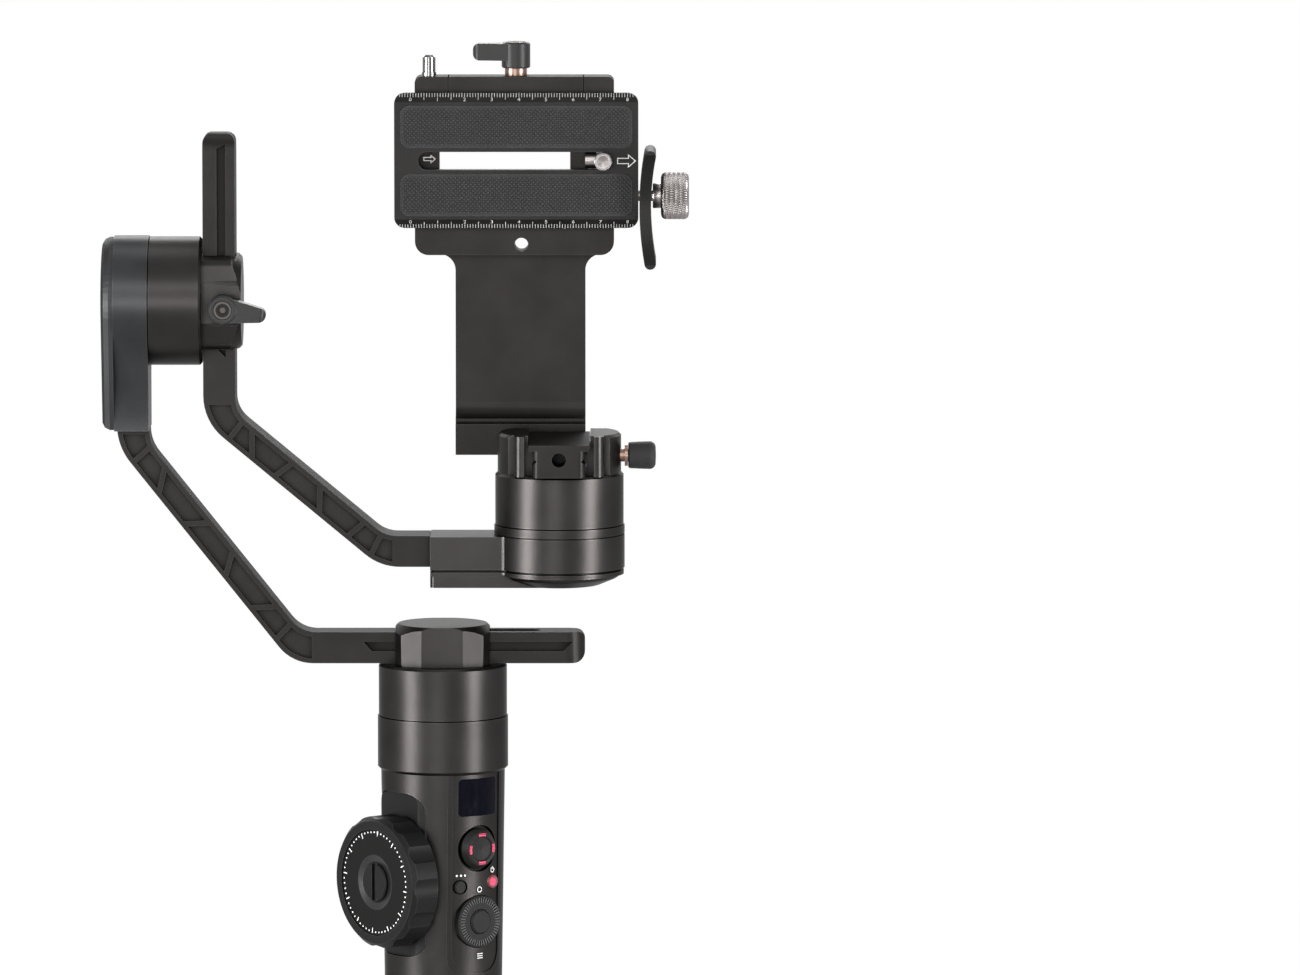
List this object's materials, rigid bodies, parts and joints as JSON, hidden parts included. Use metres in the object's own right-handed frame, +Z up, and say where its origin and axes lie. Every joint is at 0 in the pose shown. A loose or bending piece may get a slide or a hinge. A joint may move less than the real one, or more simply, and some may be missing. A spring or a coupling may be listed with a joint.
{
  "type": "gimbal stabilizer",
  "caption": "Handheld three-axis camera stabilizer: grip with focus wheel and controls, bent arms joining three motors, and a sliding camera plate.",
  "frame": {"origin": "mouth of the tripod thread in the foot of the grip", "axes": "+Z up the grip's axis, +X along the roll axis away from the roll motor, +Y to the back"},
  "size_m": [0.2151, 0.0773, 0.4409],
  "materials": {
    "gunmetal": "satin anodised",
    "arm": "fine matt anodised",
    "blue_grey": "satin anodised",
    "black_plastic": "matt",
    "rubber": "matt",
    "steel": "turned",
    "chrome": "polished",
    "bronze": "turned",
    "glass": "gloss",
    "board": "satin",
    "cell": "satin",
    "core": "laminated",
    "magnet": "plated",
    "led_red": "lit"
  },
  "bodies": {
    "cap": {"battery_cap": "gunmetal", "tripod_insert": "steel", "cap_contact": "bronze"},
    "grip": {"grip_housing": "gunmetal", "grip_sleeve": "rubber", "battery_cells": "cell", "circuit_boards": "board", "control_panel": "gunmetal", "display_window": "glass", "wheel_seat": "black_plastic", "wheel_axle": "steel", "yaw_motor_housing": "gunmetal", "yaw_stator_core": "core", "yaw_bearings": "steel"},
    "focus_wheel": {"focus_wheel": "black_plastic", "focus_dial": "black_plastic", "focus_screw": "black_plastic"},
    "trigger": {"trigger": "black_plastic"},
    "menu_dial": {"menu_dial": "rubber"},
    "menu_button": {"menu_button": "rubber"},
    "direction_pad": {"direction_pad": "rubber"},
    "mode_button": {"mode_button": "rubber"},
    "power_button": {"power_button": "led_red"},
    "yaw_rotor": {"yaw_rotor": "gunmetal", "yaw_magnets": "magnet", "yaw_clamp": "gunmetal"},
    "yaw_lever": {"yaw_lever": "black_plastic", "yaw_lever_screw": "bronze"},
    "yaw_arm": {"yaw_arm": "arm", "yaw_arm_cover": "black_plastic", "roll_motor_housing": "blue_grey", "roll_end_cap": "gunmetal", "roll_stator_core": "core", "roll_bearings": "steel"},
    "roll_rotor": {"roll_rotor": "gunmetal", "roll_magnets": "magnet", "roll_clamp": "gunmetal"},
    "roll_lever": {"roll_lever": "black_plastic", "roll_lever_screw": "bronze"},
    "roll_arm": {"roll_arm": "arm", "roll_arm_cover": "black_plastic", "tilt_motor_housing": "gunmetal", "tilt_bottom_cover": "gunmetal", "tilt_stator_core": "core", "tilt_bearings": "steel"},
    "tilt_rotor": {"tilt_rotor": "gunmetal", "tilt_magnets": "magnet"},
    "tilt_knob": {"tilt_knob": "rubber", "tilt_knob_screw": "bronze"},
    "bracket": {"camera_bracket": "arm"},
    "jaw": {"clamp_jaw": "arm"},
    "plate_lever": {"plate_lever": "black_plastic", "plate_lever_screw": "bronze"},
    "catch_pin": {"catch_pin": "chrome"},
    "plate": {"quick_release_plate": "arm", "plate_pads": "rubber"},
    "slide_washer": {"slide_washer": "steel"},
    "camera_screw": {"camera_screw": "steel"},
    "lens_support": {"lens_support": "arm"},
    "thumb_screw": {"thumb_screw": "steel"}
  },
  "joints": [
    {"name": "battery_cap_turn", "type": "hinge", "parent": "cap", "child": "grip", "pos_m": [0, 0, 0.012], "axis": [0, 0, 1], "range_deg": [-360, 0]},
    {"name": "focus_wheel_turn", "type": "hinge", "parent": "grip", "child": "focus_wheel", "pos_m": [0, 0, 0.1353], "axis": [-0.7771, -0.6293, 0], "continuous": true},
    {"name": "trigger_pull", "type": "hinge", "parent": "grip", "child": "trigger", "pos_m": [-0.01201, 0.01537, 0.1495], "axis": [0.788, 0.6157, 0], "range_deg": [-5, 0], "stiffness_Nm_per_rad": 0.3, "springref_deg": 5.73},
    {"name": "menu_dial_turn", "type": "hinge", "parent": "grip", "child": "menu_dial", "pos_m": [0, 0, 0.1204], "axis": [0.6157, -0.788, 0], "continuous": true},
    {"name": "menu_button_press", "type": "slide", "parent": "grip", "child": "menu_button", "axis": [-0.6157, 0.788, 0], "range_m": [0, 0.0005], "stiffness_N_per_m": 400, "springref_m": -0.001},
    {"name": "direction_pad_rock", "type": "hinge", "parent": "grip", "child": "direction_pad", "pos_m": [0.01262, -0.01615, 0.1475], "axis": [0.788, 0.6157, 0], "range_deg": [-3, 3], "stiffness_Nm_per_rad": 0.05},
    {"name": "mode_button_press", "type": "slide", "parent": "grip", "child": "mode_button", "axis": [-0.6157, 0.788, 0], "range_m": [0, 0.0005], "stiffness_N_per_m": 400, "springref_m": -0.001},
    {"name": "power_button_press", "type": "slide", "parent": "grip", "child": "power_button", "axis": [-0.6157, 0.788, 0], "range_m": [0, 0.0005], "stiffness_N_per_m": 400, "springref_m": -0.001},
    {"name": "yaw_turn", "type": "hinge", "parent": "grip", "child": "yaw_rotor", "pos_m": [0, 0, 0.195], "axis": [0, 0, 1], "continuous": true},
    {"name": "yaw_lever_turn", "type": "hinge", "parent": "yaw_rotor", "child": "yaw_lever", "pos_m": [0, 0.0177, 0.2212], "axis": [0, 1, 0], "range_deg": [0, 90]},
    {"name": "yaw_arm_slide", "type": "slide", "parent": "yaw_rotor", "child": "yaw_arm", "axis": [1, 0, 0], "range_m": [-0.03, 0.02]},
    {"name": "roll_turn", "type": "hinge", "parent": "yaw_arm", "child": "roll_rotor", "pos_m": [-0.1072, 0, 0.348], "axis": [1, 0, 0], "continuous": true},
    {"name": "roll_lever_turn", "type": "hinge", "parent": "roll_rotor", "child": "roll_lever", "pos_m": [-0.0797, -0.0177, 0.3465], "axis": [0, -1, 0], "range_deg": [-70, 80]},
    {"name": "roll_arm_slide", "type": "slide", "parent": "roll_rotor", "child": "roll_arm", "axis": [0, 0, 1], "range_m": [-0.008, 0.016]},
    {"name": "tilt_turn", "type": "hinge", "parent": "roll_arm", "child": "tilt_rotor", "pos_m": [0.043, 0, 0.2657], "axis": [0, 0, 1], "continuous": true},
    {"name": "tilt_knob_turn", "type": "hinge", "parent": "tilt_rotor", "child": "tilt_knob", "pos_m": [0.0683, -0.002, 0.2912], "axis": [1, 0, 0], "range_deg": [-180, 180]},
    {"name": "bracket_slide", "type": "slide", "parent": "tilt_rotor", "child": "bracket", "axis": [0, 1, 0], "range_m": [-0.01, 0.018]},
    {"name": "jaw_slide", "type": "slide", "parent": "bracket", "child": "jaw", "axis": [0, 0, 1], "range_m": [0, 0.0012]},
    {"name": "plate_lever_turn", "type": "hinge", "parent": "jaw", "child": "plate_lever", "pos_m": [0.0268, 0.034, 0.4313], "axis": [0, 0, 1], "range_deg": [0, 180]},
    {"name": "catch_pin_pull", "type": "slide", "parent": "bracket", "child": "catch_pin", "axis": [0, 0, 1], "range_m": [0, 0.003], "stiffness_N_per_m": 300, "springref_m": -0.002},
    {"name": "plate_slide", "type": "slide", "parent": "bracket", "child": "plate", "axis": [1, 0, 0], "range_m": [-0.008, 0.015]},
    {"name": "slide_washer_slide", "type": "slide", "parent": "plate", "child": "slide_washer", "axis": [1, 0, 0], "range_m": [-0.059, 0]},
    {"name": "camera_screw_turn", "type": "hinge", "parent": "slide_washer", "child": "camera_screw", "pos_m": [0.059, 0.0262, 0.3977], "axis": [0, -1, 0], "continuous": true},
    {"name": "lens_support_slide", "type": "slide", "parent": "plate", "child": "lens_support", "axis": [0, 1, 0], "range_m": [-0.006, 0.006]},
    {"name": "thumb_screw_turn", "type": "hinge", "parent": "plate", "child": "thumb_screw", "pos_m": [0.0768, 0.0262, 0.3845], "axis": [1, 0, 0], "range_deg": [-180, 180]}
  ],
  "couplings": [
    {"joint": "plate_lever_turn", "follows": "jaw_slide", "rad_per_m": 2618}
  ]
}
